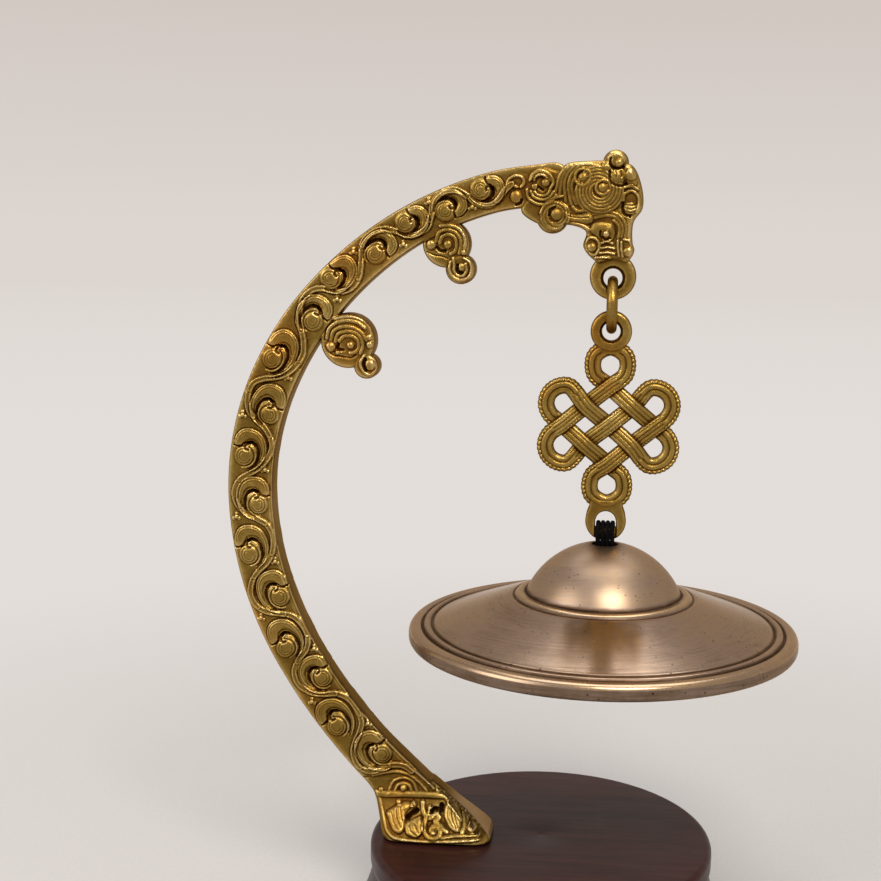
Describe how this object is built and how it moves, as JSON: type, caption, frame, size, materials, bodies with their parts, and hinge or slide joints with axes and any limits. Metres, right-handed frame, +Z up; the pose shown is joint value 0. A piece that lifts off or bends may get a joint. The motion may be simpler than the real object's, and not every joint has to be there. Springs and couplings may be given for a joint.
{
  "type": "table meditation gong",
  "caption": "Domed bronze disc gong hanging by a cord, an endless knot and a ring from the scrolled eye of a brass crescent arm on a turned wooden base.",
  "frame": {"origin": "centre of the felt pad's underside, on the surface that the gong stands on", "axes": "+Z up; the arm, the knot and the ring's centre lie in the plane y = 0; -Y is the front; +X runs from the arm towards the gong"},
  "size_m": [0.1474, 0.1, 0.2037],
  "materials": {
    "stained_wood": "dark red-brown stain, glossy lacquer",
    "felt": "felt",
    "steel": "zinc plated",
    "cast_brass": "antiqued, brown patina in the recesses",
    "ring_brass": "satin",
    "bronze": "satin brown bronze, lathe turned",
    "black_cord": "braided black cord"
  },
  "bodies": {
    "stand": {"base_felt": "felt", "wooden_base": "stained_wood", "foot_washer_1": "steel", "foot_screw_1": "steel", "foot_washer_2": "steel", "foot_screw_2": "steel", "arm": "cast_brass"},
    "ring": {"hanging_ring": "ring_brass"},
    "knot": {"endless_knot": "cast_brass"},
    "cord": {"hanging_cord": "black_cord", "cord_stopper": "black_cord"},
    "gong": {"gong": "bronze"}
  },
  "joints": [
    {"name": "ring_swing", "type": "hinge", "parent": "stand", "child": "ring", "pos_m": [0.0146, 0, 0.1724], "axis": [0, 1, 0], "range_deg": [-45, 24]},
    {"name": "knot_swing", "type": "hinge", "parent": "ring", "child": "knot", "pos_m": [0.0146, 0, 0.1657], "axis": [1, 0, 0], "range_deg": [-40, 40]},
    {"name": "cord_swing", "type": "hinge", "parent": "knot", "child": "cord", "pos_m": [0.0146, 0, 0.1073], "axis": [1, 0, 0], "range_deg": [-20, 20]},
    {"name": "gong_turn", "type": "hinge", "parent": "cord", "child": "gong", "pos_m": [0.0146, 0, 0.0833], "axis": [0, 0, 1], "range_deg": [-170, 170]}
  ]
}
